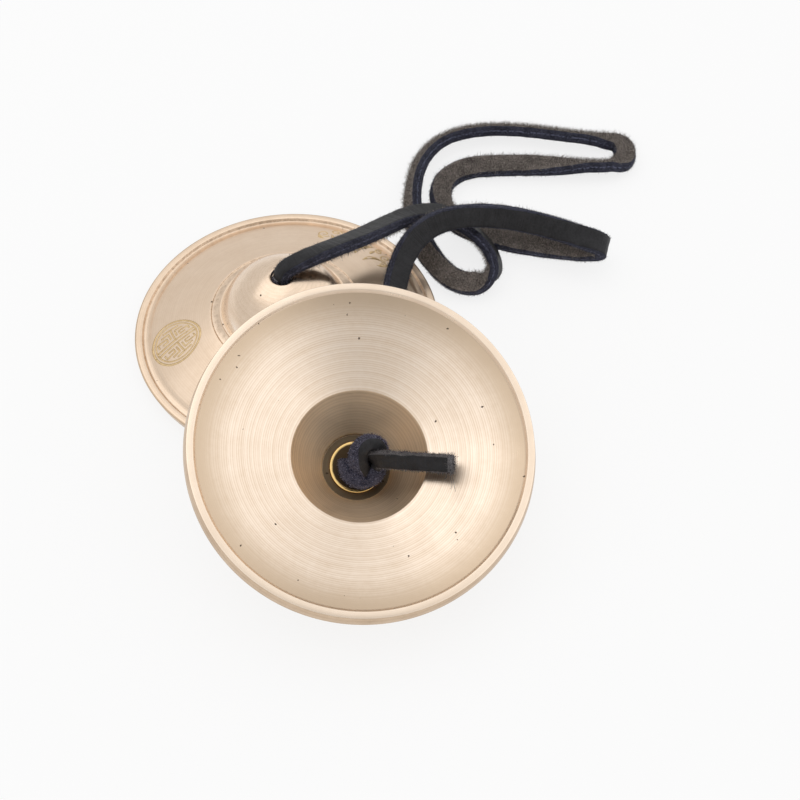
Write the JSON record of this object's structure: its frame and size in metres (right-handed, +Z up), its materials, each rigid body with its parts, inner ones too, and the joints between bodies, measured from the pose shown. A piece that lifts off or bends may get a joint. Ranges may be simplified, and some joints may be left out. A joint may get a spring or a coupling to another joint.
{
  "type": "tingsha cymbals",
  "caption": "Pair of small turned bronze cymbals with hollow bosses, joined by a knotted leather thong and struck together by hand as a meditation chime.",
  "frame": {"origin": "on the table under the middle of the two cymbals, measured without the thong", "axes": "+Z up from the table, +Y away from the viewer from the front cymbal to the rear one, +X to the viewer's right"},
  "size_m": [0.1248, 0.1482, 0.034],
  "materials": {
    "bronze": "turned and polished pale bell bronze",
    "washer_brass": "polished yellow brass",
    "thong_leather": "dark blue-black thong, smooth on the grain side and suede on the other"
  },
  "bodies": {
    "strap": {"strap": "thong_leather"},
    "rear_hanger": {"rear_knot": "thong_leather", "rear_washer": "washer_brass"},
    "rear_cymbal": {"rear_cymbal": "bronze"},
    "front_hanger": {"front_knot": "thong_leather", "front_washer": "washer_brass"},
    "front_cymbal": {"front_cymbal": "bronze"}
  },
  "joints": [
    {"name": "rear_cymbal_rock", "type": "hinge", "parent": "strap", "child": "rear_hanger", "pos_m": [-0.00928, 0.0223, 0.0206], "axis": [-0.6816, 0.7317, 0], "range_deg": [-8, 14], "deforming": ["strap"]},
    {"name": "rear_cymbal_turn", "type": "hinge", "parent": "rear_hanger", "child": "rear_cymbal", "pos_m": [-0.00928, 0.0223, 0], "axis": [0, 0, 1], "continuous": true},
    {"name": "front_cymbal_rock", "type": "hinge", "parent": "strap", "child": "front_hanger", "pos_m": [0.00752, -0.01876, 0.00387], "axis": [1, 0, 0], "range_deg": [-16, 15], "deforming": ["strap"]},
    {"name": "front_cymbal_turn", "type": "hinge", "parent": "front_hanger", "child": "front_cymbal", "pos_m": [0.00981, -0.02448, 0.02353], "axis": [0.1111, -0.2777, 0.9542], "continuous": true}
  ]
}
